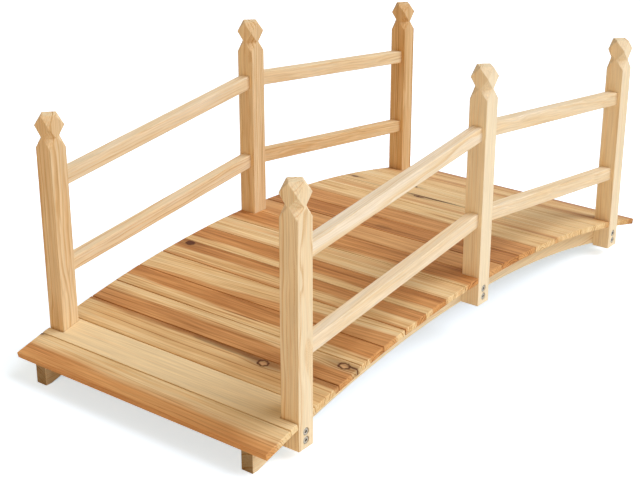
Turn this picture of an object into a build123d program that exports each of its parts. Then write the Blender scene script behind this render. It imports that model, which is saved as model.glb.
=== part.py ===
from build123d import *
import os
from math import asin, cos, sin, sqrt

# Small arched garden footbridge, in millimetres.
# +X runs along the bridge from the near end to the far end, +Y is the left side, +Z is up.
# The origin is in the middle of the footprint, on the floor.

# Plan
post_spacing = 610
deck_width = 660

# Arched stringers
end_reach = 102
stringer_thickness = 28
stringer_depth = 52
crown_height = 90
foot_flat = 15

# Deck boards
board_count = 20
board_nosing = 9.5
board_gap = 0.8
board_thickness = 14
notch_clearance = 0.8

# Posts, with a neck and a head cut by facets across the four corners
post_width = 42
post_length = 520
neck_width = 32.5
head_top_width = 27
head_cap_height = 23
head_flare_height = 23
shoulder_height = 23
brim_relief = 0.5

# Rails, let into the posts
rail_height = 30
rail_thickness = 25
upper_rail_level = 382
lower_rail_level = 194
mortise_depth = 12
mortise_clearance = 0.2

# Bolts through the foot of each post and the stringer
bolt_diameter = 6
bolt_hole_clearance = 0.25
bolt_head_diameter = 15
bolt_head_height = 2.4
bolt_socket_width = 4
bolt_socket_depth = 1.8
counterbore_diameter = 16.5
counterbore_depth = 3
lower_bolt_level = 17
bolt_spacing = 18
washer_diameter = 14
washer_thickness = 1.2
nut_width = 10
nut_height = 5
bolt_tail = 2
thread_clearance = 0.1

# Extra length that lets a cut run clean through
cut_overrun = 5

# Worked out from the sizes above
stringer_half_length = post_spacing + end_reach
arch_half_span = stringer_half_length - foot_flat
arch_radius = (arch_half_span**2 + crown_height**2) / (2 * crown_height)
deck_seat_centre = crown_height + stringer_depth - arch_radius
deck_half_turn = asin((stringer_half_length + board_nosing) / arch_radius)
board_turn = 2 * deck_half_turn / board_count
board_width = arch_radius * board_turn - board_gap
post_y = (deck_width - post_width) / 2
stringer_y = (deck_width - stringer_thickness) / 2 - post_width
post_half_diagonal = post_width / sqrt(2)
bolt_levels = [lower_bolt_level, lower_bolt_level + bolt_spacing]
rail_levels = {"lower": lower_rail_level, "upper": upper_rail_level}
sides = {"left": 1, "right": -1}
stations = {"near": -1, "middle": 0, "far": 1}
bays = {"near": ("near", "middle"), "far": ("middle", "far")}


def arch_height(x):
    # Height of the stringer's lower edge above the floor
    return crown_height - arch_radius + sqrt(arch_radius**2 - x**2)


def station_x(station):
    return stations[station] * post_spacing


def post_foot(station):
    return arch_height(station_x(station))


def side_plane(x, y, z):
    # Upright plane along the bridge: local x is +X, local y is +Z
    return Plane(origin=(x, y, z), x_dir=(1, 0, 0), z_dir=(0, -1, 0))


def bolt_plane(station, side, y, level):
    # Plane on an outer face, facing outwards, at one bolt
    centre = (station_x(station), sides[side] * y, post_foot(station) + level)
    return Plane(origin=centre, x_dir=(1, 0, 0), z_dir=(0, sides[side], 0))


def rail_plane(bay, side, level):
    # Plane across a rail at the face of its first post, looking along the rail
    first, last = bays[bay]
    start = Vector(station_x(first) + post_width / 2, sides[side] * post_y, post_foot(first) + level)
    end = Vector(station_x(last) - post_width / 2, sides[side] * post_y, post_foot(last) + level)
    return Plane(origin=start, x_dir=(0, 1, 0), z_dir=end - start), (end - start).length


def save(solid, name):
    solid.label = name
    export_step(solid, f"parts/{name}.step")


def make_stringer(side):
    end_top = stringer_depth + arch_height(stringer_half_length)
    crown_top = crown_height + stringer_depth
    with BuildPart() as stringer:
        with BuildSketch(side_plane(0, sides[side] * stringer_y, 0)):
            with BuildLine():
                Line((-stringer_half_length, 0), (-arch_half_span, 0))
                ThreePointArc((-arch_half_span, 0), (0, crown_height), (arch_half_span, 0))
                Polyline(
                    (arch_half_span, 0),
                    (stringer_half_length, 0),
                    (stringer_half_length, end_top),
                )
                ThreePointArc(
                    (stringer_half_length, end_top),
                    (0, crown_top),
                    (-stringer_half_length, end_top),
                )
                Line((-stringer_half_length, end_top), (-stringer_half_length, 0))
            make_face()
        extrude(amount=stringer_thickness / 2, both=True)
        # Bolt holes that line up with those in the posts
        for station in stations:
            for level in bolt_levels:
                with Locations(bolt_plane(station, side, stringer_y + stringer_thickness / 2, level)):
                    Hole(bolt_diameter / 2 + bolt_hole_clearance, depth=stringer_thickness)
    save(stringer.part, f"{side}_stringer")


def make_board(number):
    # Each board lies flat against the arch at the middle of its width
    turn = (number + 1 / 2) * board_turn - deck_half_turn
    seat = Plane(
        origin=(arch_radius * sin(turn), 0, deck_seat_centre + arch_radius * cos(turn)),
        x_dir=(cos(turn), 0, -sin(turn)),
        z_dir=(sin(turn), 0, cos(turn)),
    )
    with BuildPart() as board:
        with BuildSketch(seat):
            Rectangle(board_width, deck_width)
        extrude(amount=board_thickness)
        # Notches in the board's ends that the posts stand in
        notch = post_width + 2 * notch_clearance
        for station in stations:
            if abs(seat.origin.X - station_x(station)) < (board_width + notch) / 2:
                for side in sides:
                    centre = (station_x(station), sides[side] * post_y, post_foot(station))
                    with BuildSketch(Plane(origin=centre, x_dir=(1, 0, 0), z_dir=(0, 0, 1))):
                        Rectangle(notch, notch)
                    extrude(amount=post_length, mode=Mode.SUBTRACT)
    save(board.part, f"deck_board_{number + 1:02d}")


def facet_outline():
    # Half outline of the corner facets, seen across the corners, from the foot to the middle of the top.
    # It clears the plain corners, so that facets are cut only above the shoulder.
    brim = post_length - head_cap_height
    neck = brim - head_flare_height
    shoulder = neck - shoulder_height
    clear = post_half_diagonal + brim_relief
    return [
        (0, 0),
        (clear, 0),
        (clear, shoulder),
        (neck_width / 2, neck),
        (clear, brim),
        (head_top_width / 2, post_length),
        (0, post_length),
    ]


def make_post(side, station):
    x, y, foot = station_x(station), sides[side] * post_y, post_foot(station)
    with BuildPart() as post:
        with BuildSketch(Plane(origin=(x, y, foot), x_dir=(1, 0, 0), z_dir=(0, 0, 1))):
            Rectangle(post_width, post_width)
        extrude(amount=post_length)
        # The same outline, cut across both pairs of corners, gives the head
        for across in ((1, -1, 0), (1, 1, 0)):
            outward = Vector(0, 0, 1).cross(Vector(across))
            with BuildSketch(Plane(origin=(x, y, foot), x_dir=outward, z_dir=across)):
                with BuildLine():
                    Polyline(*facet_outline())
                    mirror(about=Plane.YZ)
                make_face()
            extrude(amount=post_width, both=True, mode=Mode.INTERSECT)
        # Mortises for the rails that end in this post
        pocket = (rail_thickness + 2 * mortise_clearance, rail_height + 2 * mortise_clearance)
        for bay, ends in bays.items():
            if station not in ends:
                continue
            for level in rail_levels.values():
                face, length = rail_plane(bay, side, level)
                far_end = station == ends[1]
                inward = 1 if far_end else -1
                face_distance = length if far_end else 0
                with BuildSketch(face.offset(face_distance - inward * cut_overrun)):
                    Rectangle(*pocket)
                reach = cut_overrun + mortise_depth + mortise_clearance
                extrude(amount=inward * reach, mode=Mode.SUBTRACT)
        for level in bolt_levels:
            with Locations(bolt_plane(station, side, deck_width / 2, level)):
                CounterBoreHole(
                    radius=bolt_diameter / 2 + bolt_hole_clearance,
                    counter_bore_radius=counterbore_diameter / 2,
                    counter_bore_depth=counterbore_depth,
                    depth=post_width,
                )
    save(post.part, f"{side}_{station}_post")


def make_rail(bay, side, level_name):
    face, length = rail_plane(bay, side, rail_levels[level_name])
    with BuildPart() as rail:
        with BuildSketch(face.offset(-mortise_depth)):
            Rectangle(rail_thickness, rail_height)
        extrude(amount=length + 2 * mortise_depth)
    save(rail.part, f"{side}_{bay}_{level_name}_rail")


def make_bolts(side, station):
    # Two socket-head bolts, each with a washer and nut on the stringer's inner face
    seat_y = deck_width / 2 - counterbore_depth
    inner_y = stringer_y - stringer_thickness / 2
    shank_length = seat_y - inner_y + washer_thickness + nut_height + bolt_tail
    with BuildPart() as bolts:
        for level in bolt_levels:
            head_seat = bolt_plane(station, side, seat_y, level)
            with BuildSketch(head_seat):
                Circle(bolt_head_diameter / 2)
            extrude(amount=bolt_head_height)
            with BuildSketch(head_seat.offset(bolt_head_height)):
                RegularPolygon(bolt_socket_width / 2, side_count=6, major_radius=False)
            extrude(amount=-bolt_socket_depth, mode=Mode.SUBTRACT)
            with BuildSketch(head_seat):
                Circle(bolt_diameter / 2)
            extrude(amount=-shank_length)
            nut_bore = bolt_diameter / 2 + thread_clearance
            nut_seat = bolt_plane(station, side, inner_y, level)
            with BuildSketch(nut_seat):
                Circle(washer_diameter / 2)
                Circle(nut_bore, mode=Mode.SUBTRACT)
            extrude(amount=-washer_thickness)
            with BuildSketch(nut_seat.offset(-washer_thickness)):
                RegularPolygon(nut_width / 2, side_count=6, major_radius=False)
                Circle(nut_bore, mode=Mode.SUBTRACT)
            extrude(amount=-nut_height)
    save(bolts.part, f"{side}_{station}_post_bolts")


os.makedirs("parts", exist_ok=True)
for number in range(board_count):
    make_board(number)
for side in sides:
    make_stringer(side)
    for station in stations:
        make_post(side, station)
        make_bolts(side, station)
    for bay in bays:
        for level_name in rail_levels:
            make_rail(bay, side, level_name)
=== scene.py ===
import bpy
import numpy as np
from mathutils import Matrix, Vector


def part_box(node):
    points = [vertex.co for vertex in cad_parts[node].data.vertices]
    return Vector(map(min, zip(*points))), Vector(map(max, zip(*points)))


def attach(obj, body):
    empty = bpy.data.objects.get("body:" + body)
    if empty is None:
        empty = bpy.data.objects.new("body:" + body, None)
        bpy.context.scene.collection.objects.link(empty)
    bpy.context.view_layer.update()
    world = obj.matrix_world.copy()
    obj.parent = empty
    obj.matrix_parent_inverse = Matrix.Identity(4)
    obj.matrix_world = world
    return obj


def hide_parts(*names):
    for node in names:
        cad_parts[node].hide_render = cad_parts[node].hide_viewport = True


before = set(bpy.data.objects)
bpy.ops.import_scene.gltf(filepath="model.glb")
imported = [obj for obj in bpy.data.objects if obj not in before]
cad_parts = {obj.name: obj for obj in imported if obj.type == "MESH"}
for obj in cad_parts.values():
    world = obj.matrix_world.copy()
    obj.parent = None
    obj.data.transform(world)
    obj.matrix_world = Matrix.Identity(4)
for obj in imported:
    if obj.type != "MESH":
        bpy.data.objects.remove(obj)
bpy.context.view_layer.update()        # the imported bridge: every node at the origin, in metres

mm = 0.001
sides = {"left": 1, "right": -1}
stations = ("near", "middle", "far")
bays = {"near": ("near", "middle"), "far": ("middle", "far")}
print("frame loaded:", len(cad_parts), "nodes")


# Colours, nodes and meshes

def linearColor(code):
    # sRGB hex to linear light
    srgb = np.array([int(code[i:i + 2], 16) for i in (0, 2, 4)]) / 255
    linear = np.where(srgb <= 0.04045, srgb / 12.92, ((srgb + 0.055) / 1.055) ** 2.4)
    return (*linear.tolist(), 1.0)


def addNode(tree, kind, sockets=None, **settings):
    # one node with its settings, and a value or a link for each socket. A socket is given by its name, or
    # by its number where Blender repeats a name: 6 and 7 are a Mix node's colours, and 1 to 4 the ends of
    # what a MapRange node maps from and to
    node = tree.nodes.new("ShaderNode" + kind)
    for name, value in settings.items():
        setattr(node, name, value)
    for key, value in (sockets or {}).items():
        if isinstance(value, bpy.types.NodeSocket):
            tree.links.new(value, node.inputs[key])
        else:
            node.inputs[key].default_value = value
    return node


def setStops(ramp, stops):
    # colours of a ramp that is new, and so has two stops
    points = ramp.color_ramp.elements
    for stop in stops[1:-1]:
        points.new(stop[0])
    for point, (at, color) in zip(points, stops):
        point.position, point.color = at, color


def skinRings(rings):
    # rings is (ring, around, 3): each ring is joined to the next by quads, and the first and
    # last ring are closed by one flat face each
    count, around = rings.shape[:2]
    step = np.arange(around)
    start = np.arange(count - 1)[:, None] * around
    ahead = np.roll(step, -1)
    quads = np.stack([start + step, start + ahead, start + ahead + around, start + step + around], -1)
    caps = [step[::-1].tolist(), (step + (count - 1) * around).tolist()]
    return rings.reshape(-1, 3), quads.reshape(-1, 4).tolist() + caps


def skinLoop(rings):
    # as skinRings, but the last ring joins the first again, as on a washer
    count, around = rings.shape[:2]
    step = np.arange(around)
    start = np.arange(count)[:, None] * around
    after = np.roll(start, -1, axis=0)
    ahead = np.roll(step, -1)
    quads = np.stack([start + step, start + ahead, after + ahead, after + step], -1)
    return rings.reshape(-1, 3), quads.reshape(-1, 4).tolist()


def newMesh(name, shells):
    # several closed shells in one mesh, with no vertex shared between them
    points = np.concatenate([shell[0] for shell in shells])
    starts = np.cumsum([0] + [len(shell[0]) for shell in shells])
    faces = [[start + i for i in face] for start, shell in zip(starts, shells) for face in shell[1]]
    mesh = bpy.data.meshes.new(name)
    mesh.from_pydata(points.tolist(), [], faces)
    mesh.validate()
    return mesh


carving = {
    "weld": 0.01 * mm,           # corners closer than this are joined before edges are eased
    "easedFrom": 20,             # degrees between two faces from which their edge is eased
    "overrun": 1 * mm,           # how far outside a face the cutter of a bore starts
}


def carve(mesh, cutters, easedEdge=0.0, edgeSteps=3):
    # mesh with its sharp edges eased, minus the closed cutter shells, as a new mesh
    made = [bpy.data.objects.new(label, data) for label, data in
            (("body", mesh), ("cutter", newMesh("cutter", cutters)))]
    for item in made:
        bpy.context.scene.collection.objects.link(item)
    if easedEdge:
        weld = made[0].modifiers.new("weld", "WELD")
        weld.merge_threshold = carving["weld"]
        ease = made[0].modifiers.new("ease", "BEVEL")
        ease.width = easedEdge
        ease.segments = edgeSteps
        ease.limit_method = "ANGLE"
        ease.angle_limit = np.radians(carving["easedFrom"])
    cut = made[0].modifiers.new("carve", "BOOLEAN")
    cut.operation = "DIFFERENCE"
    cut.solver = "EXACT"
    cut.object = made[1]
    depsgraph = bpy.context.evaluated_depsgraph_get()
    carved = bpy.data.meshes.new_from_object(made[0].evaluated_get(depsgraph))
    for item in made:
        bpy.data.objects.remove(item)
    return carved


plainSoft = 5.0                  # mm over which a heartwood border fades, unless a piece says otherwise


def woodAttributes(mesh, axes, grain):
    # axes are the rows across, through and along the grain. Every attribute is a straight-line
    # function of place, so it needs no more vertices than the shape has:
    # grain is the place in millimetres from the pith of the tree, which may lean along the piece,
    # wood is the softness of the heartwood's border, tone and seed,
    # figure is the strength of lines and streaks,
    # bandA and bandB are millimetres inside the two edges of a heartwood band and its strength,
    # and knotA and knotB are places counted in the knot's own radii and its strength
    points = np.empty(len(mesh.vertices) * 3)
    mesh.vertices.foreach_get("co", points)
    local = (points.reshape(-1, 3) - grain["centre"]) @ np.asarray(axes).T / mm
    across, through, along = local.T
    one = np.ones_like(across)
    straight = across - grain.get("lean", 0.0) * along
    pithAcross, pithThrough = grain["pith"]
    values = {
        "grain": [straight - pithAcross, through - pithThrough, along],
        "wood": [one * grain.get("soft", plainSoft), one * grain.get("tone", 0.0), one * grain["seed"]],
        "figure": [one * grain.get("lines", 1.0), one * grain.get("streaks", 1.0), 0 * one],
    }
    bands = list(grain.get("bands", ())) + [(0.0, 0.0, 0.0)] * 2
    for name, (low, high, strength) in zip(("bandA", "bandB"), bands):
        values[name] = [straight - low, high - straight, one * strength]
    knots = list(grain.get("knots", ())) + [(0.0, 0.0, 1.0, 1.0, 0.0)] * 2
    for name, (atAcross, atAlong, reach, stretch, dark) in zip(("knotA", "knotB"), knots):
        values[name] = [(across - atAcross) / reach, (along - atAlong) / (reach * stretch), one * dark]
    for name, columns in values.items():
        layer = mesh.attributes.new(name, "FLOAT_VECTOR", "POINT")
        layer.data.foreach_set("vector", np.stack(columns, -1).astype(np.float32).ravel())


def addPiece(name, mesh, material, node):
    piece = bpy.data.objects.new(name, mesh)
    bpy.context.scene.collection.objects.link(piece)
    mesh.materials.clear()
    mesh.materials.append(material)
    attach(piece, "root")
    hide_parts(node)


def nodeSeat(node):
    # axes and extent of a straight piece that may be tilted in the XZ plane:
    # rows lengthwise, crosswise, upward, with the upward one taken from its upper face
    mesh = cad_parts[node].data
    normals, areas, points = (np.empty(n) for n in (
        len(mesh.polygons) * 3, len(mesh.polygons), len(mesh.vertices) * 3))
    mesh.polygons.foreach_get("normal", normals)
    mesh.polygons.foreach_get("area", areas)
    mesh.vertices.foreach_get("co", points)
    normals = normals.reshape(-1, 3)
    leastRise = 0.8              # of the normal of a face that counts as an upper one
    facingUp = normals[:, 2] > leastRise
    up = (normals * areas[:, None])[facingUp].sum(0) * (1, 0, 1)
    up /= np.linalg.norm(up)
    axes = np.array([(up[2], 0, -up[0]), (0, 1, 0), up])
    local = points.reshape(-1, 3) @ axes.T
    return axes, local.min(0), local.max(0)


# Wood: planed softwood as a solid block of growth rings, so that faces, edges and end grain agree

def firWood(name, look, endAxis):
    # Planed China fir: cream to golden sapwood, orange to brown heartwood, darker lines of latewood.
    # To the eye it is matt, with streaks along the grain and rings on the sawn ends.
    material = bpy.data.materials.new(name)
    material.use_nodes = True
    tree = material.node_tree
    tree.nodes.clear()
    read = {label: addNode(tree, "Attribute", attribute_name=label).outputs["Vector"]
            for label in ("grain", "wood", "figure", "bandA", "bandB", "knotA", "knotB")}
    grain = read.pop("grain")
    split = {label: addNode(tree, "SeparateXYZ", {0: place}).outputs for label, place in read.items()}
    soft, tone, seed = split["wood"]

    # rings wander a few millimetres along the trunk
    slow = addNode(tree, "VectorMath", {0: grain, 1: look["wanderScale"]}, operation="MULTIPLY")
    wander = addNode(tree, "TexNoise", {"Vector": slow.outputs[0], "W": seed, "Scale": 1.0,
                                        "Detail": 2.0}, noise_dimensions="4D")
    wander = addNode(tree, "VectorMath", {0: wander.outputs["Color"], 1: (0.5, 0.5, 0.5)},
                     operation="SUBTRACT")
    wander = addNode(tree, "VectorMath", {0: wander.outputs[0], 1: look["wander"]}, operation="MULTIPLY")
    place = addNode(tree, "VectorMath", {0: grain, 1: wander.outputs[0]}, operation="ADD").outputs[0]

    # knots push the rings aside, further along the grain than across it
    knotShade = []
    roughScale, roughReach = look["knotRough"]
    pushFull, pushEnd = look["knotReach"]
    for label in ("knotA", "knotB"):
        flat = addNode(tree, "CombineXYZ", {0: split[label][0], 1: split[label][1]})
        rough = addNode(tree, "TexNoise", {"Vector": flat.outputs[0], "Scale": roughScale, "Detail": 1.0})
        edge = addNode(tree, "Math", {0: rough.outputs[0], 1: roughReach, 2: -roughReach / 2},
                       operation="MULTIPLY_ADD")
        far = addNode(tree, "VectorMath", {0: flat.outputs[0]}, operation="LENGTH")
        far = addNode(tree, "Math", {0: far.outputs["Value"], 1: edge.outputs[0]}, operation="ADD")
        spindle = addNode(tree, "VectorMath", {0: flat.outputs[0], 1: look["spindle"]},
                          operation="MULTIPLY")
        spindle = addNode(tree, "VectorMath", {0: spindle.outputs[0]}, operation="LENGTH")
        near = addNode(tree, "MapRange", {0: spindle.outputs["Value"], 1: pushFull, 2: pushEnd, 3: 1.0,
                                          4: 0.0}, interpolation_type="SMOOTHSTEP")
        opaque = addNode(tree, "Math", {0: split[label][2]}, operation="ABSOLUTE")
        near = addNode(tree, "Math", {0: near.outputs[0], 1: opaque.outputs[0]}, operation="MULTIPLY")
        push = addNode(tree, "Math", {0: near.outputs[0], 1: look["knotPush"]}, operation="MULTIPLY")
        push = addNode(tree, "Math", {0: push.outputs[0], 1: split[label][0]}, operation="MULTIPLY")
        aside = addNode(tree, "CombineXYZ", {0: push.outputs[0]})
        place = addNode(tree, "VectorMath", {0: place, 1: aside.outputs[0]},
                        operation="SUBTRACT").outputs[0]
        knotShade.append((far.outputs[0], near.outputs[0], split[label][2]))

    # distance from the pith, counted in growth rings: wide and narrow years take turns, and each ring
    # has its own strength of latewood
    flat = addNode(tree, "VectorMath", {0: place, 1: (1, 1, 0)}, operation="MULTIPLY")
    radius = addNode(tree, "VectorMath", {0: flat.outputs[0]}, operation="LENGTH").outputs["Value"]
    years = addNode(tree, "Math", {0: radius, 1: 1 / look["yearSpan"], 2: seed},
                    operation="MULTIPLY_ADD")
    years = addNode(tree, "TexNoise", {"W": years.outputs[0], "Scale": 1.0, "Detail": 1.0},
                    noise_dimensions="1D")
    rings = addNode(tree, "Math", {0: radius, 1: look["ringSpacing"]}, operation="DIVIDE")
    rings = addNode(tree, "Math", {0: years.outputs[0], 1: look["yearSwing"], 2: rings.outputs[0]},
                    operation="MULTIPLY_ADD")
    ringNumber = addNode(tree, "Math", {0: rings.outputs[0]}, operation="FLOOR")
    ringNumber = addNode(tree, "Math", {0: ringNumber.outputs[0], 1: seed}, operation="ADD")
    ringPart = addNode(tree, "Math", {0: rings.outputs[0]}, operation="FRACT")
    late = addNode(tree, "ValToRGB", {0: ringPart.outputs[0]})
    setStops(late, [(at, (level, level, level, 1.0)) for at, level in look["latewood"]])
    uneven = addNode(tree, "TexWhiteNoise", {"W": ringNumber.outputs[0]}, noise_dimensions="1D")
    uneven = addNode(tree, "Math", {0: uneven.outputs[0], 1: look["ringUneven"]}, operation="POWER")
    uneven = addNode(tree, "MapRange", {0: uneven.outputs[0], 3: look["ringLeast"], 4: 1.0})
    late = addNode(tree, "Math", {0: late.outputs[0], 1: uneven.outputs[0]},
                   operation="MULTIPLY").outputs[0]

    # patches, streaks and fibres along the grain, each about zero; the fibres are drawn coarser than
    # life so that they show
    figures = []
    for key in ("patch", "streak", "fibre"):
        slow = addNode(tree, "VectorMath", {0: place, 1: look[key + "Scale"]}, operation="MULTIPLY")
        noise = addNode(tree, "TexNoise", {"Vector": slow.outputs[0], "W": seed, "Scale": 1.0,
                                           "Detail": 3.0}, noise_dimensions="4D")
        swing = addNode(tree, "Math", {0: noise.outputs[0], 1: 0.5}, operation="SUBTRACT")
        figures.append(swing.outputs[0])
    patch, streak, fibre = figures

    # heartwood lies in bands with a wavy, feathered border
    slow = addNode(tree, "VectorMath", {0: grain, 1: look["borderScale"]}, operation="MULTIPLY")
    border = addNode(tree, "TexNoise", {"Vector": slow.outputs[0], "W": seed, "Scale": 1.0,
                                        "Detail": 3.0}, noise_dimensions="4D")
    wave = look["borderWave"]
    border = addNode(tree, "Math", {0: border.outputs[0], 1: 2 * wave, 2: -wave},
                     operation="MULTIPLY_ADD")
    border = addNode(tree, "Math", {0: streak, 1: look["borderFeather"], 2: border.outputs[0]},
                     operation="MULTIPLY_ADD")
    softer = addNode(tree, "Math", {0: soft, 1: -1.0}, operation="MULTIPLY")
    heart = 0.0
    for label in ("bandA", "bandB"):
        inside = addNode(tree, "Math", {0: split[label][0], 1: split[label][1]}, operation="MINIMUM")
        inside = addNode(tree, "Math", {0: inside.outputs[0], 1: border.outputs[0]}, operation="ADD")
        band = addNode(tree, "MapRange", {0: inside.outputs[0], 1: softer.outputs[0], 2: soft},
                       interpolation_type="SMOOTHSTEP")
        band = addNode(tree, "Math", {0: band.outputs[0], 1: split[label][2]}, operation="MULTIPLY")
        heart = addNode(tree, "Math", {0: heart, 1: band.outputs[0]}, operation="MAXIMUM").outputs[0]

    # sawn ends show their rings more strongly, and are paler or duller, and rougher, than planed faces
    normal = addNode(tree, "SeparateXYZ", {0: addNode(tree, "NewGeometry").outputs["Normal"]})
    facing = addNode(tree, "Math", {0: normal.outputs[endAxis]}, operation="ABSOLUTE")
    sawnFrom, sawnFull = look["sawnFacing"]
    sawn = addNode(tree, "MapRange", {0: facing.outputs[0], 1: sawnFrom, 2: sawnFull},
                   interpolation_type="SMOOTHSTEP").outputs[0]

    # one depth of colour runs each kind of wood from pale to dark
    depth = addNode(tree, "Math", {0: patch, 1: look["patch"], 2: tone}, operation="MULTIPLY_ADD")
    depth = addNode(tree, "Math", {0: sawn, 1: -look["endPale"], 2: depth.outputs[0]},
                    operation="MULTIPLY_ADD")
    swing = addNode(tree, "Math", {0: streak, 1: split["figure"][1]}, operation="MULTIPLY")
    swing = addNode(tree, "Math", {0: swing.outputs[0], 1: look["streak"], 2: depth.outputs[0]},
                    operation="MULTIPLY_ADD")
    lines = addNode(tree, "Math", {0: sawn, 1: look["endLine"], 2: split["figure"][0]},
                    operation="MULTIPLY_ADD")
    lines = addNode(tree, "Math", {0: late, 1: lines.outputs[0]}, operation="MULTIPLY")
    depth = addNode(tree, "Math", {0: lines.outputs[0], 1: look["line"], 2: swing.outputs[0]},
                    operation="MULTIPLY_ADD")
    resinFrom, resinFull = look["resinStreak"]
    resin = addNode(tree, "MapRange", {0: streak, 1: resinFrom, 2: resinFull, 3: 0.0, 4: look["resin"]},
                    interpolation_type="SMOOTHSTEP")
    depth = addNode(tree, "Math", {0: resin.outputs[0], 1: heart, 2: depth.outputs[0]},
                    operation="MULTIPLY_ADD")
    ramps = []
    for kind in ("sapwood", "heartwood"):
        ramp = addNode(tree, "ValToRGB", {0: depth.outputs[0]})
        setStops(ramp, [(at, linearColor(code)) for at, code in look[kind]])
        ramps.append(ramp.outputs[0])
    color = addNode(tree, "Mix", {"Factor": heart, 6: ramps[0], 7: ramps[1]}, data_type="RGBA")
    value = addNode(tree, "Math", {0: fibre, 1: look["fibre"], 2: 1.0}, operation="MULTIPLY_ADD")
    color = addNode(tree, "HueSaturation", {"Value": value.outputs[0],
                                            "Color": color.outputs[2]}).outputs[0]

    # a knot has a dark rim round a lighter heart; with a strength below zero it is dark all through
    knotLight, knotDark = linearColor(look["knotLight"]), linearColor(look["knotDark"])
    rimFrom, rimFull = look["knotRim"]
    coverFrom, coverFull = look["knotCover"]
    for far, near, strength in knotShade:
        halo = addNode(tree, "Math", {0: near, 1: look["knotHalo"]}, operation="MULTIPLY")
        color = addNode(tree, "Mix", {"Factor": halo.outputs[0], 6: color, 7: knotDark},
                        data_type="RGBA").outputs[2]
        rim = addNode(tree, "MapRange", {0: far, 1: rimFrom, 2: rimFull}, interpolation_type="SMOOTHSTEP")
        solid = addNode(tree, "Math", {0: strength, 1: 0.0}, operation="LESS_THAN")
        rim = addNode(tree, "Math", {0: rim.outputs[0], 1: solid.outputs[0]}, operation="MAXIMUM")
        body = addNode(tree, "Mix", {"Factor": rim.outputs[0], 6: knotLight, 7: knotDark},
                       data_type="RGBA")
        cover = addNode(tree, "MapRange", {0: far, 1: coverFrom, 2: coverFull},
                        interpolation_type="SMOOTHSTEP")
        opaque = addNode(tree, "Math", {0: strength}, operation="ABSOLUTE")
        cover = addNode(tree, "Math", {0: cover.outputs[0], 1: opaque.outputs[0]}, operation="MULTIPLY")
        color = addNode(tree, "Mix", {"Factor": cover.outputs[0], 6: color, 7: body.outputs[2]},
                        data_type="RGBA").outputs[2]

    dull = addNode(tree, "Mix", {"Factor": sawn, 6: (1, 1, 1, 1), 7: linearColor(look["sawnTint"])},
                   data_type="RGBA")
    color = addNode(tree, "Mix", {"Factor": 1.0, 6: color, 7: dull.outputs[2]}, data_type="RGBA",
                    blend_type="MULTIPLY").outputs[2]
    matt = addNode(tree, "MapRange", {0: late, 3: look["roughness"],
                                      4: look["roughness"] - look["lateGloss"]})
    matt = addNode(tree, "Math", {0: sawn, 1: look["sawnRough"], 2: matt.outputs[0]},
                   operation="MULTIPLY_ADD")

    # latewood stands a little proud and fibres leave fine ridges
    ridges = addNode(tree, "Math", {0: fibre, 1: look["fibreRidge"], 2: late}, operation="MULTIPLY_ADD")
    bump = addNode(tree, "Bump", {"Strength": look["bump"], "Distance": look["ridge"],
                                  "Height": ridges.outputs[0]})
    shader = addNode(tree, "BsdfPrincipled", {
        "Base Color": color, "Roughness": matt.outputs[0], "IOR": look["ior"],
        "Specular IOR Level": look["sheen"], "Normal": bump.outputs[0]})
    addNode(tree, "OutputMaterial", {"Surface": shader.outputs[0]})
    return material


# colours run from pale to dark; scales are per millimetre across, through and along the grain
firLook = {
    "sapwood": [(0.0, "F3DAAA"), (0.35, "E7C48C"), (0.7, "D1A166"), (1.0, "A9703A")],
    "heartwood": [(0.0, "E0A96A"), (0.35, "CB8F54"), (0.7, "A86D3A"), (1.0, "6C4020")],
    "knotLight": "D2A470", "knotDark": "582E12", "sawnTint": "FFFCF6",
    "ringSpacing": 5.8,                        # mm between growth rings
    "ringLeast": 0.15, "ringUneven": 1.8,      # strength of the faintest ring, and rarity of strong ones
    "latewood": [(0.0, 0.0), (0.45, 0.0), (0.78, 1.0), (0.9, 0.9), (0.96, 0.0)],
    "yearSpan": 16.0, "yearSwing": 1.4,        # mm over which years run wide, and by how many rings
    "line": 0.38, "endLine": 1.3,              # how much deeper latewood is, and more so on sawn ends
    "sawnFacing": (0.75, 0.95),                # how squarely a face lies across the grain to look sawn
    "endPale": 0.18, "sawnRough": 0.2,         # how much paler and rougher sawn ends are
    "wander": (10.0, 10.0, 0.0), "wanderScale": (1 / 45, 1 / 45, 1 / 330),      # wander in mm
    "borderWave": 12.0, "borderFeather": 16.0, "borderScale": (1 / 26, 1 / 26, 1 / 170),
    "patch": 0.9, "patchScale": (1 / 18, 1 / 18, 1 / 260),
    "streak": 1.0, "streakScale": (1 / 4, 1 / 4, 1 / 180),
    "resin": 0.5, "resinStreak": (-0.10, -0.22),        # deeper colour, and the streaks that carry it
    "fibre": 0.6, "fibreScale": (1 / 2.2, 1 / 2.2, 1 / 110),
    # of knots: how far and over which radii they push the rings, how their edge wavers, and in radii
    # where the rim begins and is full and where the knot ends
    "knotPush": 7.0, "knotReach": (0.3, 2.6), "knotRough": (1.7, 0.7), "spindle": (1.0, 0.4, 0.0),
    "knotHalo": 0.45, "knotRim": (0.5, 0.9), "knotCover": (1.25, 0.95),
    "roughness": 0.64, "lateGloss": 0.08,      # latewood is denser and so a little smoother
    "ior": 1.45, "sheen": 0.22,                # bare wood is porous, so it shines less than varnish
    "bump": 0.35, "ridge": 0.3 * mm, "fibreRidge": 0.6,
}
paleLook = {
    **firLook, "sapwood": [(0.0, "F6E7CD"), (0.35, "EFD5A9"), (0.7, "DBB27A"), (1.0, "B98850")],
    "ringSpacing": 6.5, "line": 0.46, "streak": 0.5, "patch": 0.6, "fibre": 0.5,
    "wander": (16.0, 16.0, 0.0), "wanderScale": (1 / 40, 1 / 40, 1 / 160),
}
postLook = {**paleLook, "sapwood": [(0.0, "F6E5C2"), *paleLook["sapwood"][1:]]}
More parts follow.
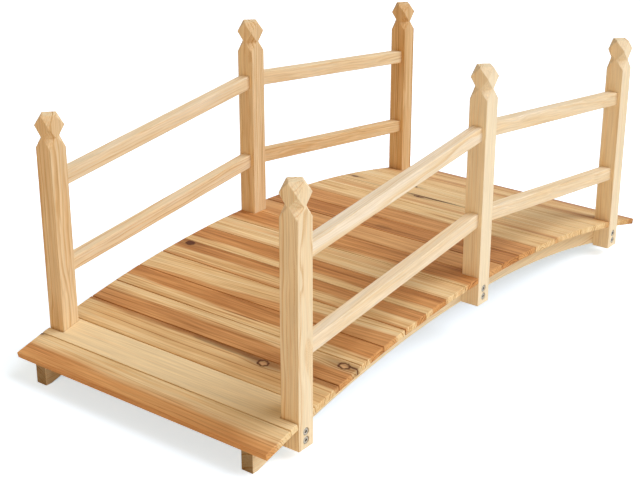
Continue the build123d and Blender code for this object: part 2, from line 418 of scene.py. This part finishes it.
stringerLook = {
    **firLook, "sapwood": [(0.0, "FAE6BE"), (0.35, "EFCE98"), (0.7, "D9AC70"), (1.0, "A9703A")],
    "roughness": 0.68, "sawnTint": "A89F93", "endPale": 0.0,
}
# the last value is the axis that the grain runs along: 0 is X, 1 is Y, 2 is Z
deckWood = firWood("planed fir deck boards", firLook, 1)
postWood = firWood("planed fir posts", postLook, 2)
railWood = firWood("planed fir rails", paleLook, 0)
stringerWood = firWood("sawn fir stringers", stringerLook, 0)
print("wood materials made")


# Deck boards

deckBoard = {
    "easedEdge": 1.5 * mm, "edgeSteps": 3,
    "endStagger": 1.2 * mm,       # how far a board's end may stand in from the line
    "gapSpread": 0.9 * mm,        # how much narrower a board may be on each edge
    "notchRoom": 0.8 * mm,
    "seed": 14, "seedStep": 3.7,  # of the uneven edges, and from one board's grain to the next
}
# one row for each board from the near end: pith across and below the upper face in mm, lean of the
# grain, tone from pale 0 to dark 1, strength of lines and streaks
boardRows = [
    (-42, 30, 0.010, 0.19, 0.9, 1.0), (70, 25, 0.000, -0.12, 0.6, 0.4), (48, 45, 0.000, 0.40, 1.2, 0.5),
    (-24, 30, 0.000, 0.36, 1.0, 1.3), (20, 40, 0.008, 0.40, 1.1, 1.3), (-46, 25, -0.060, 0.28, 1.0, 0.8),
    (38, 28, 0.004, 0.42, 0.8, 1.2), (22, 35, 0.006, 0.38, 0.8, 1.2), (75, 35, 0.000, 0.23, 1.2, 1.0),
    (5, 30, 0.000, 0.33, 1.1, 1.2), (-20, 40, 0.012, 0.30, 1.3, 1.2), (10, 55, 0.000, 0.50, 1.4, 1.2),
    (-30, 35, 0.000, 0.36, 0.7, 1.0), (4, 22, 0.030, 0.29, 1.5, 0.9), (60, 40, 0.000, 0.33, 1.5, 1.1),
    (-55, 30, 0.010, 0.29, 1.3, 1.0), (50, 25, 0.008, 0.25, 1.0, 0.8), (52, 30, 0.000, 0.38, 1.0, 1.0),
    (-50, 30, 0.000, 0.45, 0.8, 0.8), (46, 30, 0.000, 0.63, 0.8, 1.0),
]
# bands of heartwood: from and to in mm from the board's middle, strength; then the softness of their
# borders in mm
boardBands = {
    1: [(-99, 2, 1.0)], 3: [(25, 99, 0.8)], 4: [(-99, 8, 0.9)], 5: [(-10, 99, 1.0)],
    6: [(-99, -13, 0.9)], 7: [(-99, -27, 0.8), (0, 99, 0.95)], 8: [(-14, 99, 1.0)],
    9: [(-99, -26, 0.5), (8, 22, 0.45)], 10: [(-30, 99, 1.0)], 11: [(-99, 99, 0.8)],
    12: [(-99, 99, 1.0)], 13: [(-99, 99, 0.9)], 14: [(-99, -20, 0.4)], 15: [(-18, -2, 0.8)],
    18: [(18, 99, 0.6)], 19: [(-99, -18, 0.7)], 20: [(6, 99, 0.8)],
}
boardSoft = {1: 14.0, 4: 8.0, 9: 8.0, 10: 8.0, 15: 7.0, 18: 9.0, 20: 10.0}
# knots and stains: across and along from the board's middle, radius in mm, stretch along the grain,
# strength, which is below zero where there is no lighter heart
boardKnots = {
    1: [(34, 327, 4, 1.3, -0.8)],
    3: [(24, -156, 9, 1.35, 1.0), (29, -60, 6, 14, -0.45)],
    4: [(19, -301, 9, 1.4, 1.0), (22, -322, 2, 5, -0.9)],
    7: [(25, 300, 9, 1.2, -1.0)],
    12: [(-13, 0, 9, 2.2, -0.28)],
    15: [(34, 80, 8, 1.7, -0.95)],
    16: [(-32, 45, 3.2, 20, -0.95), (-5, 302, 7, 1.2, -0.8)],
    17: [(-33, 147, 6, 1.3, -0.9)],
}


def insetOutline(outline, inset):
    # every corner of a closed outline, moved in along the mitre of its two edges
    before = outline - np.roll(outline, 1, axis=0)
    after = np.roll(outline, -1, axis=0) - outline
    inward = [np.stack([-edge[:, 1], edge[:, 0]], -1) / np.linalg.norm(edge, axis=1)[:, None]
              for edge in (before, after)]
    share = 1 + (inward[0] * inward[1]).sum(1)
    return outline + inset * (inward[0] + inward[1]) / share[:, None]


def easedSlab(outline, low, high, radius, steps):
    # an outline carried up from low to high, with its upper and lower edges rounded: each ring is the
    # outline inset by radius * (1 - sin) at a height of radius * (1 - cos) from the nearer face
    turn = np.linspace(0, np.pi / 2, steps + 1)
    inset = radius * (1 - np.sin(turn))
    rise = radius * (1 - np.cos(turn))
    insets = np.concatenate([inset, inset[::-1]])
    heights = np.concatenate([low + rise, high - rise[::-1]])
    rings = [np.column_stack([insetOutline(outline, d), np.full(len(outline), h)])
             for d, h in zip(insets, heights)]
    return np.array(rings)


def boardOutline(u0, u1, y0, y1, notches):
    # corners counter-clockwise in the board's plane, with a notch in each end where a post stands
    corners = []
    for end, inner, order in ((y0, 0, 1), (y1, 1, -1)):
        run = [(u0, end), (u1, end)]
        for n0, n1, depths in notches:
            floor = depths[inner]
            lowSide = [(n0, end), (n0, floor)] if n0 > u0 else [(u0, floor)]
            highSide = [(n1, floor), (n1, end)] if n1 < u1 else [(u1, floor)]
            before = [(u0, end)] if n0 > u0 else []
            after = [(u1, end)] if n1 < u1 else []
            run = before + lowSide + highSide + after
        corners += run[::order]
    return np.array(corners)


def makeBoards():
    random = np.random.default_rng(deckBoard["seed"])
    postBoxes = {(side, station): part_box(f"{side}_{station}_post")
                 for side in sides for station in stations}
    for number, (pith, depth, lean, tone, lines, streaks) in enumerate(boardRows, 1):
        node = f"deck_board_{number:02d}"
        axes, low, high = nodeSeat(node)
        slim = random.uniform(0, deckBoard["gapSpread"], 2)
        short = random.uniform(0, deckBoard["endStagger"], 2)
        notches = []
        for station in stations:
            lo, hi = postBoxes["left", station]
            # the post is upright and the board is not, so the notch clears it at both faces
            heights = np.array([low[2], high[2]])
            reach = [(x - heights * axes[2][0]) / axes[0][0] for x in (lo[0], hi[0])]
            n0, n1 = reach[0].min() - deckBoard["notchRoom"], reach[1].max() + deckBoard["notchRoom"]
            if n1 > low[0] and n0 < high[0]:
                inner = lo[1] - deckBoard["notchRoom"]
                notches.append((n0, n1, (-inner, inner)))
        outline = boardOutline(low[0] + slim[0], high[0] - slim[1],
                               low[1] + short[0], high[1] - short[1], notches)
        rings = easedSlab(outline, low[2], high[2], deckBoard["easedEdge"], deckBoard["edgeSteps"])
        mesh = newMesh(node, [skinRings(rings @ axes)])
        grain = {
            "centre": ((low + high) / 2 * (1, 1, 0) + high * (0, 0, 1)) @ axes,
            "pith": (pith, -depth), "lean": lean, "tone": tone, "lines": lines, "streaks": streaks,
            "seed": number * deckBoard["seedStep"], "soft": boardSoft.get(number, plainSoft),
            "bands": boardBands.get(number, ()), "knots": boardKnots.get(number, ()),
        }
        woodAttributes(mesh, axes[[0, 2, 1]], grain)
        addPiece(f"board_{number:02d}", mesh, deckWood, node)
    print("deck boards made:", len(boardRows))


makeBoards()


# Posts, cut for the rails and bolts

post = {
    "easedEdge": 0.8 * mm, "edgeSteps": 3,
    "capHeight": 23 * mm, "flareHeight": 23 * mm, "shoulderHeight": 23 * mm,
    "neckWidth": 32.5 * mm, "topWidth": 27 * mm,      # across the corner facets
    "boreDiameter": 16.5 * mm, "boreDepth": 3 * mm, "boreSides": 48,
    "mortiseRoom": 0.25 * mm, "mortiseSteps": 2,
    "seed": 90, "seedStep": 0.31,                     # of the grain, which moves on with the pith
}
# pith across both ways in mm, lean of the grain, tone from pale 0 to dark 1, strength of lines
postRows = {
    ("left", "near"): (-38, 30, 0.012, 0.43, 1.0), ("left", "middle"): (45, -25, 0.010, 0.4, 1.3),
    ("left", "far"): (-20, -48, 0.015, 0.58, 1.3), ("right", "near"): (10, 55, 0.012, 0.17, 1.5),
    ("right", "middle"): (-30, 46, 0.010, -0.04, 0.9), ("right", "far"): (40, -40, 0.012, -0.02, 0.7),
}


def facetedRings(half, levels, reaches):
    # a square with its corners cut by the line |x| + |y| = reach, one ring for each level: the two ends
    # of each corner's cut are (min(half, reach), max(reach - half, 0)) and the same two swapped
    long = np.minimum(half, reaches)
    short = np.maximum(reaches - half, 0)
    corner = np.stack([np.stack([long, short], -1), np.stack([short, long], -1)], 1)
    quarter = np.array([[0.0, 1.0], [-1.0, 0.0]])          # a quarter turn to the left
    around = np.concatenate([corner @ np.linalg.matrix_power(quarter, k) for k in range(4)], 1)
    heights = np.broadcast_to(np.reshape(levels, (-1, 1, 1)), around.shape[:2] + (1,))
    return np.concatenate([around, heights], -1)


def roundedRectangle(half, radius, steps):
    # corner arcs of one radius, counter-clockwise, round a rectangle of two half widths: each point is
    # its corner's centre plus radius * (cos, sin)
    turn = np.linspace(0, np.pi / 2, steps + 1)
    quarter = np.arange(4)[:, None] * np.pi / 2
    angle = (turn + quarter).reshape(-1)
    corner = np.array([(1, 1), (-1, 1), (-1, -1), (1, -1)]) * (half - radius)
    return np.repeat(corner, steps + 1, axis=0) + radius * np.stack([np.cos(angle), np.sin(angle)], -1)


def tube(center, axis, length, radius, sidesCount):
    # round cutter: a circle square to the axis, carried along it from center
    axis = np.asarray(axis, float)
    first = np.cross(axis, (0.0, 0.0, 1.0))
    second = np.cross(axis, first)
    angle = np.linspace(0, 2 * np.pi, sidesCount, endpoint=False)
    circle = radius * (np.outer(np.cos(angle), first) + np.outer(np.sin(angle), second))
    ends = np.array([center, np.asarray(center) + axis * length])
    return skinRings(ends[:, None, :] + circle[None])


def boltPlaces(side, station):
    # middle of each bolt head's seat in its post's outer face, read from the bolts' node
    lo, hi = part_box(f"{side}_{station}_post_bolts")
    headHalf = (hi[0] - lo[0]) / 2
    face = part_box(f"{side}_{station}_post")[1 if sides[side] > 0 else 0][1]
    return [np.array([(lo[0] + hi[0]) / 2, face, z]) for z in (lo[2] + headHalf, hi[2] - headHalf)]


def barRings(axes, low, high, radius, steps):
    # a straight bar with rounded long edges: a rounded rectangle carried along the first axis
    section = roundedRectangle((high - low)[1:] / 2, radius, steps) + ((low + high) / 2)[1:]
    rings = np.empty((2, len(section), 3))
    rings[:, :, 0] = np.array([low[0], high[0]])[:, None]
    rings[:, :, 1:] = section
    return rings @ axes


def makePosts():
    for (side, station), (pithX, pithY, lean, tone, lines) in postRows.items():
        node = f"{side}_{station}_post"
        lo, hi = (np.array(corner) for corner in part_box(node))
        half = (hi[0] - lo[0]) / 2
        # reach of the corner cuts at the shoulder, neck, brim and top, with a level added where the
        # faces' flats end below the top
        brim = hi[2] - post["capHeight"]
        neck = brim - post["flareHeight"]
        slim, crown = post["neckWidth"] / np.sqrt(2), post["topWidth"] / np.sqrt(2)
        tip = brim + post["capHeight"] * half / (2 * half - crown)
        rings = facetedRings(half, [lo[2], neck - post["shoulderHeight"], neck, brim, tip, hi[2]],
                             np.array([2 * half, 2 * half, slim, 2 * half, half, crown]))
        rings[:, :, :2] += (lo + hi)[:2] / 2
        outward = np.array([0.0, sides[side], 0.0])
        overrun = carving["overrun"]
        cutters = [tube(place + outward * overrun, -outward, post["boreDepth"] + overrun,
                        post["boreDiameter"] / 2, post["boreSides"])
                   for place in boltPlaces(side, station)]
        for bay, ends in bays.items():
            if station in ends:
                for level in ("upper", "lower"):
                    axes, low, high = nodeSeat(f"{side}_{bay}_{level}_rail")
                    room = post["mortiseRoom"]
                    cutters.append(skinRings(barRings(axes, low - room, high + room, rail["easedEdge"],
                                                      post["mortiseSteps"])))
        mesh = carve(newMesh(node, [skinRings(rings)]), cutters, post["easedEdge"], post["edgeSteps"])
        centre = (lo + hi) / 2
        axes = np.array([(0, 1, 0), (1, 0, 0), (0, 0, 1)])
        woodAttributes(mesh, axes, {"centre": centre, "pith": (pithY, pithX), "tone": tone, "lean": lean,
                                    "lines": lines, "seed": post["seed"] + pithX * post["seedStep"]})
        addPiece(f"{side}_{station}_post_faceted", mesh, postWood, node)
    print("posts made:", len(postRows))


# Rails

rail = {
    "easedEdge": 1.6 * mm, "edgeSteps": 4,
    "seed": 140, "seedStep": 0.37,                    # of the grain, which moves on with the pith
}
# pith across and up from the middle in mm, lean of the grain, tone from pale 0 to dark 1,
# strength of lines
railRows = {
    ("left", "near", "upper"): (40, -60, 0.02, 0.26, 1.0),
    ("left", "near", "lower"): (-35, -50, 0.03, 0.3, 0.9),
    ("left", "far", "upper"): (30, 70, 0.03, 0.36, 0.6),
    ("left", "far", "lower"): (-25, 45, 0.04, 0.52, 0.7),
    ("right", "near", "upper"): (60, 30, 0.02, 0.08, 1.0),
    ("right", "near", "lower"): (-50, -30, 0.03, 0.18, 0.35),
    ("right", "far", "upper"): (45, -35, 0.03, 0.28, 0.6),
    ("right", "far", "lower"): (-40, 55, 0.03, 0.24, 0.7),
}


def makeRails():
    for (side, bay, level), (pithY, pithZ, lean, tone, lines) in railRows.items():
        node = f"{side}_{bay}_{level}_rail"
        axes, low, high = nodeSeat(node)
        rings = barRings(axes, low, high, rail["easedEdge"], rail["edgeSteps"])
        mesh = newMesh(node, [skinRings(rings)])
        woodAttributes(mesh, axes[[1, 2, 0]], {"centre": (low + high) / 2 @ axes, "pith": (pithY, pithZ),
                                               "tone": tone, "lean": lean, "lines": lines,
                                               "seed": rail["seed"] + pithY * rail["seedStep"]})
        addPiece(f"{side}_{bay}_{level}_handrail", mesh, railWood, node)
    print("rails made:", len(railRows))


makePosts()
makeRails()


# Arched stringers

stringer = {
    "easedEdge": 1.2 * mm, "edgeSteps": 3, "arcSteps": 72,
    "crown": 90 * mm, "depth": 52 * mm, "footFlat": 15 * mm,
    "holeDiameter": 6.5 * mm, "holeReach": 100 * mm, "holeSides": 24,
    "pith": (30, -120), "tone": 0.0,                  # pith outward and up from the middle in mm
    "seed": 170, "seedStep": 7,
}


def archOutline(halfLength):
    # lower and upper edge are the same circle, one depth apart; the circle meets the floor where the
    # flat foot begins, and radius = (span^2 + crown^2) / (2 crown)
    span = halfLength - stringer["footFlat"]
    crown = stringer["crown"]
    radius = (span ** 2 + crown ** 2) / (2 * crown)
    under = np.linspace(-span, span, stringer["arcSteps"])
    over = np.linspace(halfLength, -halfLength, stringer["arcSteps"])
    lower = np.column_stack([under, crown - radius + np.sqrt(radius ** 2 - under ** 2)])
    top = crown + stringer["depth"]
    upper = np.column_stack([over, top - radius + np.sqrt(radius ** 2 - over ** 2)])
    feet = np.array([[-halfLength, 0.0], [halfLength, 0.0]])
    return np.concatenate([feet[:1], lower, feet[1:], upper])


def makeStringers():
    for side, sign in sides.items():
        node = f"{side}_stringer"
        lo, hi = (np.array(corner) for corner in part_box(node))
        # the slab is made lying down, then stood up: its height becomes -Y
        rings = easedSlab(archOutline(hi[0]), -hi[1], -lo[1], stringer["easedEdge"],
                          stringer["edgeSteps"])
        rings = np.stack([rings[..., 0], -rings[..., 2], rings[..., 1]], -1)
        outward = np.array([0.0, sign, 0.0])
        cutters = [tube(place + outward * carving["overrun"], -outward, stringer["holeReach"],
                        stringer["holeDiameter"] / 2, stringer["holeSides"])
                   for station in stations for place in boltPlaces(side, station)]
        mesh = carve(newMesh(node, [skinRings(rings)]), cutters)
        axes = np.array([(0, 1, 0), (0, 0, 1), (1, 0, 0)])
        outPith, upPith = stringer["pith"]
        woodAttributes(mesh, axes, {"centre": (lo + hi) / 2, "pith": (outPith * sign, upPith),
                                    "tone": stringer["tone"],
                                    "seed": stringer["seed"] + sign * stringer["seedStep"]})
        addPiece(f"{side}_arched_stringer", mesh, stringerWood, node)
    print("stringers made")


makeStringers()


# Bolts, washers and nuts

bolt = {
    "diameter": 6 * mm, "headDiameter": 15 * mm, "headHeight": 2.4 * mm, "headRound": 1.8 * mm,
    "socketWidth": 5 * mm, "socketDepth": 3 * mm, "boreDepth": 3 * mm,
    "washerDiameter": 14 * mm, "washerThickness": 1.2 * mm, "washerRoom": 0.2 * mm,
    "nutWidth": 10 * mm, "nutHeight": 5 * mm, "tail": 2 * mm, "threadRoom": 0.1 * mm,
    # eased edges of the tail, the socket's mouth, the nut and the washer
    "tailEase": 0.5 * mm, "socketEase": 0.3 * mm, "nutEase": 0.8 * mm, "washerEase": 0.2 * mm,
    "floorRing": 1 * mm,          # radius of a ring that divides the flat floor of the socket
    "around": 72, "roundSteps": 6, "sharpAngle": 32,
}
zincLook = {
    # the near-black is the colour of the painted shade in the socket and round the head
    "cloudDark": "867D6E", "cloudLight": "C6BCAB", "recessShade": "1E1A17",
    "cloudSize": 3 * mm, "cloudSpan": (0.3, 0.7), "roughness": (0.22, 0.38),
    "recessShadeRough": 0.3,             # how much rougher it is where the shade is painted, in the socket and round the head
}


def zincSteel():
    # Zinc plated steel: bright grey metal, slightly cloudy from the plating bath, with painted shade,
    # dark and dull, in the socket, under the head and round its rim
    material = bpy.data.materials.new("zinc plated steel")
    material.use_nodes = True
    tree = material.node_tree
    tree.nodes.clear()
    place = addNode(tree, "TexCoord").outputs["Object"]
    cloud = addNode(tree, "TexNoise", {"Vector": place, "Scale": 1 / zincLook["cloudSize"],
                                       "Detail": 4.0})
    color = addNode(tree, "Mix", {"Factor": cloud.outputs[0], 6: linearColor(zincLook["cloudDark"]),
                                  7: linearColor(zincLook["cloudLight"])}, data_type="RGBA")
    # painted shade: the socket, the head's underside and rim and the holes turn dark and dull
    recessShade = addNode(tree, "Attribute", attribute_name="recessShade").outputs["Fac"]
    color = addNode(tree, "Mix", {"Factor": recessShade, 6: color.outputs[2], 7: linearColor(zincLook["recessShade"])},
                    data_type="RGBA")
    faint, full = zincLook["cloudSpan"]
    smooth, rough = zincLook["roughness"]
    matt = addNode(tree, "MapRange", {0: cloud.outputs[0], 1: faint, 2: full, 3: smooth, 4: rough})
    matt = addNode(tree, "Math", {0: recessShade, 1: zincLook["recessShadeRough"], 2: matt.outputs[0]},
                   operation="MULTIPLY_ADD")
    shader = addNode(tree, "BsdfPrincipled", {"Base Color": color.outputs[2], "Metallic": 1.0,
                                              "Roughness": matt.outputs[0]})
    addNode(tree, "OutputMaterial", {"Surface": shader.outputs[0]})
    return material


def makeBolts():
    steel = zincSteel()
    angle = np.linspace(0, 2 * np.pi, bolt["around"], endpoint=False)
    # a hexagon of width 1 in polar form: half its width over the cosine of the angle from the flat
    hexagon = 0.5 / np.cos((angle + np.pi / 6) % (np.pi / 3) - np.pi / 6)
    circle = np.ones_like(angle)
    head, shank = bolt["headDiameter"] / 2, bolt["diameter"] / 2
    turn = np.linspace(0, np.pi / 2, bolt["roundSteps"])
    for side, sign in sides.items():
        axes = np.array([(-sign, 0, 0), (0, 0, 1), (0, sign, 0)])
        for station in stations:
            node = f"{side}_{station}_post_bolts"
            nutSeat = abs(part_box(f"{side}_stringer")[0 if sign > 0 else 1][1])
            shells, recessShade = [], []
            for place in boltPlaces(side, station):
                seat = place - (0, sign * bolt["boreDepth"], 0)
                grip = abs(seat[1]) - nutSeat
                tail = -grip - bolt["washerThickness"] - bolt["nutHeight"] - bolt["tail"]
                edge, tall = bolt["headRound"], bolt["headHeight"]
                floor = tall - bolt["socketDepth"]
                # radius round the axis, height along it and strength of the painted shade, from the tail
                # to the floor of the socket
                ease = bolt["tailEase"]
                rows = [(circle * (shank - ease), tail, 0), (circle * shank, tail + ease, 0),
                        (circle * shank, 0.0, 1), (circle * head, 0.0, 1)]
                rows += [(circle * (head - edge + edge * np.cos(t)), tall - edge + edge * np.sin(t),
                          1 - np.sin(t)) for t in turn]
                socket, ease = hexagon * bolt["socketWidth"], bolt["socketEase"]
                rows += [(socket + ease, tall, 0), (socket, tall - ease, 1), (socket, floor, 1),
                         (circle * bolt["floorRing"], floor, 1)]
                nutLow = -grip - bolt["washerThickness"]
                nutHigh = nutLow - bolt["nutHeight"]
                bore = circle * (shank + bolt["threadRoom"])
                flats = hexagon * bolt["nutWidth"]
                rounded = np.minimum(flats, bolt["nutWidth"] / 2)
                ease = bolt["nutEase"]
                nut = [(bore, nutHigh, 1), (rounded, nutHigh, 0), (flats, nutHigh + ease, 0),
                       (flats, nutLow - ease, 0), (rounded, nutLow, 0), (bore, nutLow, 1)]
                rim = circle * bolt["washerDiameter"] / 2
                hole = circle * (shank + bolt["washerRoom"])
                ease = bolt["washerEase"]
                washer = [(hole, nutLow, 1), (rim - ease, nutLow, 0), (rim, nutLow + ease, 0),
                          (rim, -grip - ease, 0), (rim - ease, -grip, 0), (hole, -grip, 1)]
                for skin, part in ((skinRings, rows), (skinLoop, nut), (skinLoop, washer)):
                    rings = np.array([np.column_stack([r * np.cos(angle), r * np.sin(angle), circle * h])
                                      for r, h, _ in part])
                    shells.append(skin(rings @ axes + seat))
                    recessShade += [inRecess * circle for _, _, inRecess in part]
            mesh = newMesh(node, shells)
            # painted shade, one value for each point: 1 in the socket, under the head and in the holes,
            # fading up the head's rounded rim
            layer = mesh.attributes.new("recessShade", "FLOAT", "POINT")
            layer.data.foreach_set("value", np.concatenate(recessShade).astype(np.float32))
            mesh.shade_smooth()
            mesh.set_sharp_from_angle(angle=np.radians(bolt["sharpAngle"]))
            addPiece(f"{side}_{station}_bolt_set", mesh, steel, node)
    print("bolts made")


makeBolts()


# Floor, light and camera

studio = {
    "floorHalf": 30.0,
    "floorColor": "EFE7D9", "floorShown": "ECF1F7",
    "floorLift": 0.65, "liftColor": "E9F7FE",      # keeps the shadow on the paper light and neutral
    # painted shadow under the middle of the deck: the lift left there, and the outer and inner boxes it
    # fades between
    "paintedShadowLift": 0.1, "paintedShadowOuter": (0.62, 0.20), "paintedShadowInner": (0.45, 0.08),      # metres
    "skyStrength": 0.265, "skyColor": "FFEFDA",
    # lamps: kind, where the light comes from in metres, power, size in degrees or metres, colour
    "lamps": {
        "key": ("SUN", (0.38, -0.60, 0.81), 2.76, 45.0, "EAF1FF"),
        "warm fill": ("SUN", (-0.95, -0.15, 0.25), 0.78, 60.0, "FFC77C"),
        "softbox": ("AREA", (-0.75, -2.2, 0.3), 3.5, 1.0, "DDEAFF"),
    },
}


def shownRays(tree):
    # 1 for rays that show the studio's white, seen directly, in a reflection or through glass
    rays = addNode(tree, "LightPath").outputs
    seen = addNode(tree, "Math", {0: rays["Is Camera Ray"], 1: rays["Is Glossy Ray"]},
                   operation="MAXIMUM")
    return addNode(tree, "Math", {0: seen.outputs[0], 1: rays["Is Transmission Ray"]},
                   operation="MAXIMUM").outputs[0]


def makeStudio():
    half = studio["floorHalf"]
    grid = np.array([[(-half, -half, 0), (half, -half, 0)], [(-half, half, 0), (half, half, 0)]])
    mesh = bpy.data.meshes.new("floor")
    mesh.from_pydata(grid.reshape(-1, 3).tolist(), [], [(0, 1, 3, 2)])
    floor = bpy.data.objects.new("floor", mesh)
    bpy.context.scene.collection.objects.link(floor)
    # White paper sweep: matt, shown near white with the bridge's shadow left on it, and a painted shadow
    # under the middle of the deck
    paper = bpy.data.materials.new("white paper sweep")
    paper.use_nodes = True
    tree = paper.node_tree
    tree.nodes.clear()
    lit = addNode(tree, "BsdfDiffuse", {"Color": linearColor(studio["floorColor"])})
    shown = addNode(tree, "BsdfDiffuse", {"Color": linearColor(studio["floorShown"])})
    # painted shadow: little light comes in under the middle of the deck, so the floor's lift fades there,
    # from an outer box to an inner one, each given by how far it reaches along and across from the middle
    place = addNode(tree, "SeparateXYZ", {0: addNode(tree, "TexCoord").outputs["Object"]})
    cover = 1.0
    for axis, (outer, inner) in enumerate(zip(studio["paintedShadowOuter"], studio["paintedShadowInner"])):
        away = addNode(tree, "Math", {0: place.outputs[axis]}, operation="ABSOLUTE")
        within = addNode(tree, "MapRange", {0: away.outputs[0], 1: inner, 2: outer, 3: 1.0, 4: 0.0},
                         interpolation_type="SMOOTHSTEP")
        cover = addNode(tree, "Math", {0: cover, 1: within.outputs[0]}, operation="MULTIPLY").outputs[0]
    strength = addNode(tree, "MapRange", {0: cover, 3: studio["floorLift"], 4: studio["paintedShadowLift"]})
    lift = addNode(tree, "Emission", {"Color": linearColor(studio["liftColor"]),
                                      "Strength": strength.outputs[0]})
    white = addNode(tree, "AddShader", {0: shown.outputs[0], 1: lift.outputs[0]})
    mixed = addNode(tree, "MixShader", {0: shownRays(tree), 1: lit.outputs[0], 2: white.outputs[0]})
    addNode(tree, "OutputMaterial", {"Surface": mixed.outputs[0]})
    mesh.materials.append(paper)

    world = bpy.data.worlds.new("studio white")
    world.use_nodes = True
    tree = world.node_tree
    tree.nodes.clear()
    glow = addNode(tree, "Background", {"Color": linearColor(studio["skyColor"]),
                                        "Strength": studio["skyStrength"]})
    seen = addNode(tree, "Background", {"Color": (1, 1, 1, 1), "Strength": 1.0})
    mixed = addNode(tree, "MixShader", {0: shownRays(tree), 1: glow.outputs[0], 2: seen.outputs[0]})
    addNode(tree, "OutputWorld", {"Surface": mixed.outputs[0]})
    bpy.context.scene.world = world

    for name, (kind, source, power, size, color) in studio["lamps"].items():
        lamp = bpy.data.lights.new(name, kind)
        lamp.energy = power
        lamp.color = linearColor(color)[:3]
        stand = bpy.data.objects.new(name, lamp)
        bpy.context.scene.collection.objects.link(stand)
        stand.rotation_euler = Vector(source).to_track_quat("Z", "Y").to_euler()
        stand.visible_camera = False
        if kind == "SUN":
            lamp.angle = np.radians(size)
        else:
            lamp.size = size
            stand.location = source
    print("floor and lights set")


makeStudio()

view = {"eye": (-2.36, -1.716, 1.3525), "aim": (0.0, 0.11, 0.117), "lens": 78.75, "sensor": 36.0}


def makeCamera():
    camera = bpy.data.cameras.new("camera")
    camera.lens = view["lens"]
    camera.sensor_width = view["sensor"]
    stand = bpy.data.objects.new("camera", camera)
    bpy.context.scene.collection.objects.link(stand)
    eye = Vector(view["eye"])
    stand.location = eye
    stand.rotation_euler = (Vector(view["aim"]) - eye).to_track_quat("-Z", "Y").to_euler()
    bpy.context.scene.camera = stand


makeCamera()
bpy.context.scene.view_settings.view_transform = "Standard"
print("camera set")
